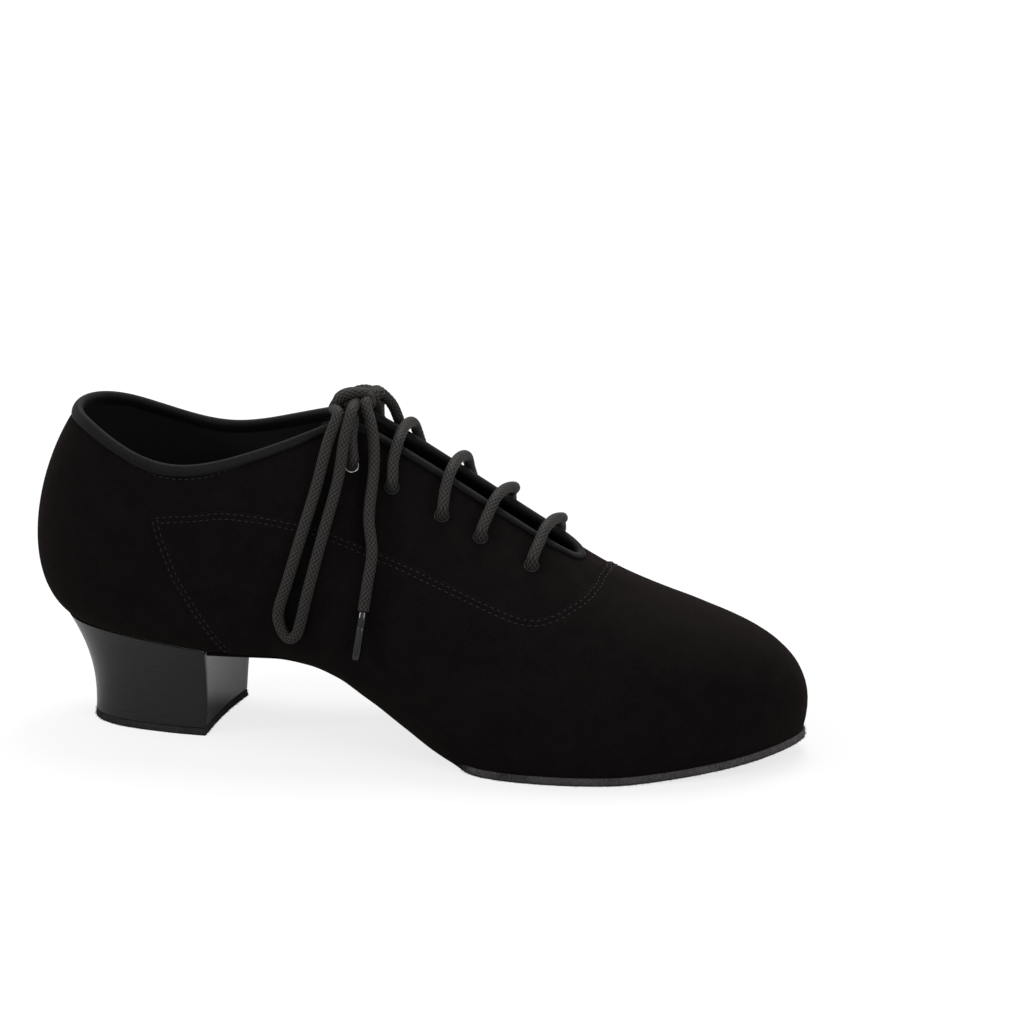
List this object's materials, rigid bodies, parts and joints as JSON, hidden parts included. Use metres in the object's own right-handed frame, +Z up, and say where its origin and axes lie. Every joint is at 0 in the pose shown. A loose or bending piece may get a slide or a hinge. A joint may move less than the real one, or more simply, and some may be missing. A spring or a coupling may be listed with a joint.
{
  "type": "ballroom dance shoe",
  "caption": "Black suede lace-up ballroom dance shoe for the right foot, with a stacked block heel, bound topline and cord laces tied in a bow.",
  "frame": {"origin": "on the floor, in the middle of the heel tip's underside", "axes": "+X to the toe, +Y to the inner side of this right shoe, +Z up"},
  "size_m": [0.2651, 0.0896, 0.1187],
  "materials": {
    "black_suede": "fine nap, matt",
    "binding_tape": "woven tape, matt",
    "lace_cord": "braided round cord",
    "sole_suede": "brushed split leather, fuzzy edge",
    "insole_leather": "satin",
    "stacked_leather": "polished stacked layers, satin to gloss",
    "eyelet_metal": "black enamel",
    "aglet_plastic": "clear film over cord, glossy"
  },
  "bodies": {
    "root": {"upper": "black_suede", "tongue": "black_suede", "topline_binding": "binding_tape", "insole": "insole_leather", "outsole": "sole_suede", "heel_block": "stacked_leather", "heel_tip": "sole_suede", "eyelet_outer_1": "eyelet_metal", "eyelet_outer_2": "eyelet_metal", "eyelet_outer_3": "eyelet_metal", "eyelet_outer_4": "eyelet_metal", "eyelet_outer_5": "eyelet_metal", "lace_strand_outer": "lace_cord", "lace_loop_outer": "lace_cord", "lace_end_outer": "lace_cord", "aglet_outer": "aglet_plastic", "eyelet_inner_1": "eyelet_metal", "eyelet_inner_2": "eyelet_metal", "eyelet_inner_3": "eyelet_metal", "eyelet_inner_4": "eyelet_metal", "eyelet_inner_5": "eyelet_metal", "lace_strand_inner": "lace_cord", "lace_loop_inner": "lace_cord", "lace_end_inner": "lace_cord", "aglet_inner": "aglet_plastic", "lace_bar_1": "lace_cord", "lace_bar_2": "lace_cord", "lace_bar_3": "lace_cord", "lace_bar_4": "lace_cord", "lace_knot": "lace_cord"}
  },
  "joints": []
}
